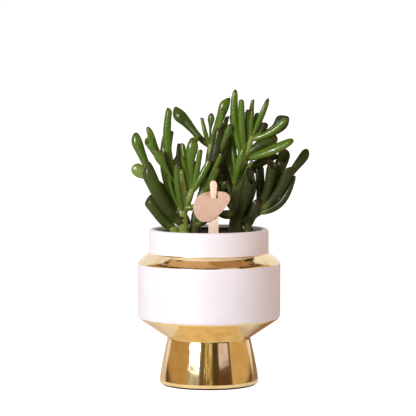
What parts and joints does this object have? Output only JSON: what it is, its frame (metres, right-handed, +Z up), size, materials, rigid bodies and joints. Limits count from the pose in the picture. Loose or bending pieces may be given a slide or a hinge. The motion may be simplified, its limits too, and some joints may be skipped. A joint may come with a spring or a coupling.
{
  "type": "potted succulent",
  "caption": "Hobbit jade with fleshy tubular leaves in a nursery pot, set in a footed ceramic pot, with a flat wooden stake carrying a blank card tag.",
  "frame": {"origin": "centre of the underside of the pot's foot, on the surface that it stands on", "axes": "+Z up the pot's axis to the top of the plant, -Y to the front where the tag faces, +X to the right as seen from the front"},
  "size_m": [0.1571, 0.1258, 0.2594],
  "materials": {
    "pot": "white glaze with mirror gold on the shoulder, cone and foot",
    "nursery_pot": "black, satin",
    "soil": "loose, matte",
    "stake": "bare, sanded",
    "tag": "uncoated kraft",
    "left_shoot": "waxy leaves with red tips",
    "centre_shoot": "waxy leaves with red tips",
    "right_shoot": "waxy leaves with red tips"
  },
  "bodies": {
    "root": {"pot": "pot", "nursery_pot": "nursery_pot", "soil": "soil", "stake": "stake", "tag": "tag", "left_shoot": "left_shoot", "centre_shoot": "centre_shoot", "right_shoot": "right_shoot"}
  },
  "joints": []
}
